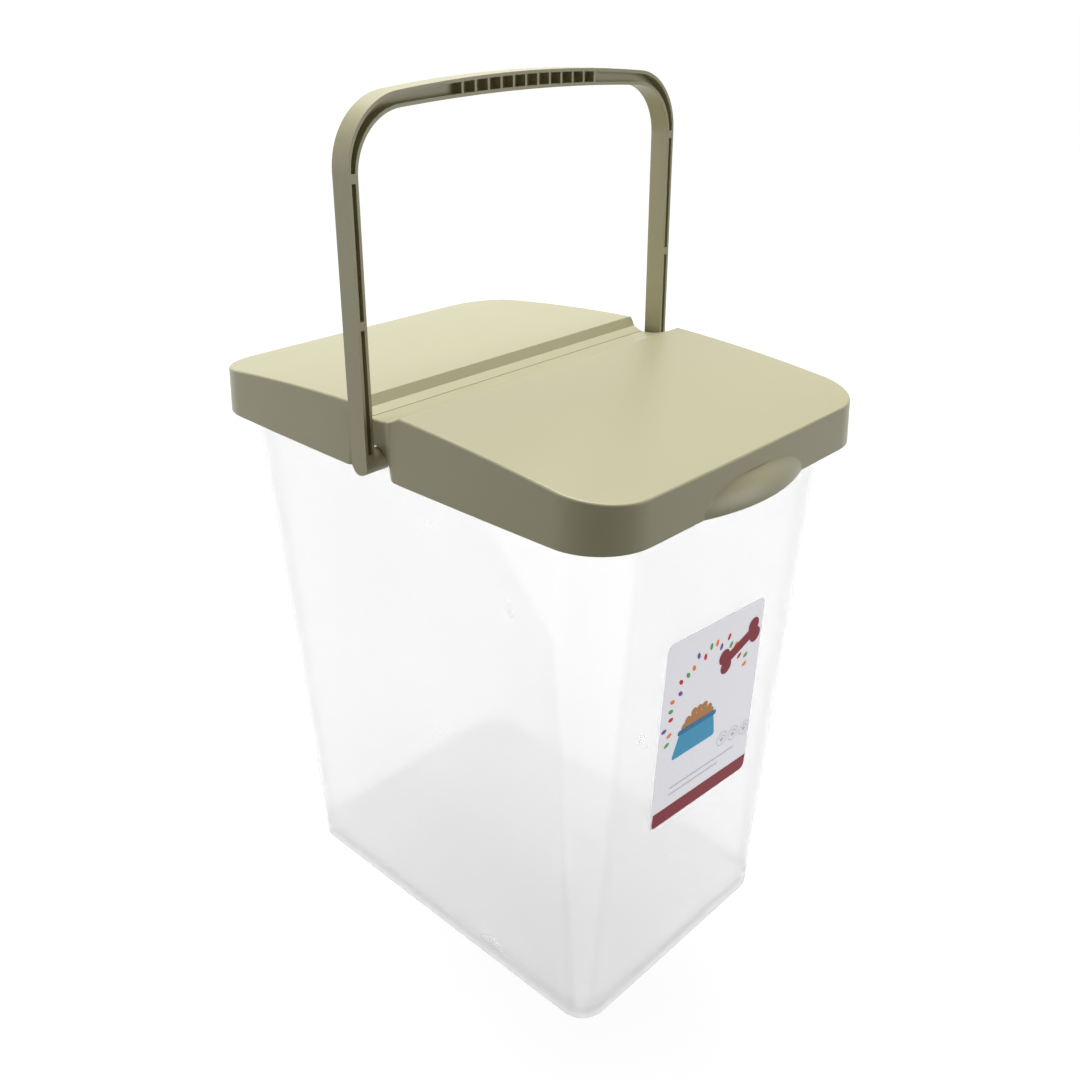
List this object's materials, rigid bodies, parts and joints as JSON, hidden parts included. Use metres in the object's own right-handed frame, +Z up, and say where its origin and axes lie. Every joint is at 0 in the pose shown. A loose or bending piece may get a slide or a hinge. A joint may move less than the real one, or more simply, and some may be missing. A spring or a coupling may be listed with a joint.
{
  "type": "lidded food storage bin",
  "caption": "Tall tapered translucent food bin with a bowed lid, a front flap that folds up at a channel, a finger lip and an upright ribbed carrying bail.",
  "frame": {"origin": "centre of the bin's flat base, on the surface that it stands on", "axes": "+Z up, -Y towards the front with the finger lip and the sticker, +X across to the right of someone behind the bin facing its front"},
  "size_m": [0.2252, 0.2968, 0.4737],
  "materials": {
    "bin_plastic": "milky translucent polypropylene, satin",
    "lid_plastic": "khaki beige polypropylene, satin",
    "label_film": "printed sticker film, smooth"
  },
  "bodies": {
    "bin": {"bin_body": "bin_plastic", "front_label": "label_film"},
    "lid": {"lid_rear_panel": "lid_plastic"},
    "flap": {"lid_front_flap": "lid_plastic"},
    "handle": {"carry_handle": "lid_plastic"}
  },
  "joints": [
    {"name": "lid_lift", "type": "slide", "parent": "bin", "child": "lid", "axis": [0, 0, 1], "range_m": [0, 0.03]},
    {"name": "flap_fold", "type": "hinge", "parent": "lid", "child": "flap", "pos_m": [0, 0.0056, 0.3265], "axis": [-1, 0, 0], "range_deg": [0, 80]},
    {"name": "handle_swing", "type": "hinge", "parent": "bin", "child": "handle", "pos_m": [0, 0.0021, 0.3063], "axis": [1, 0, 0], "range_deg": [-118, 118]}
  ]
}
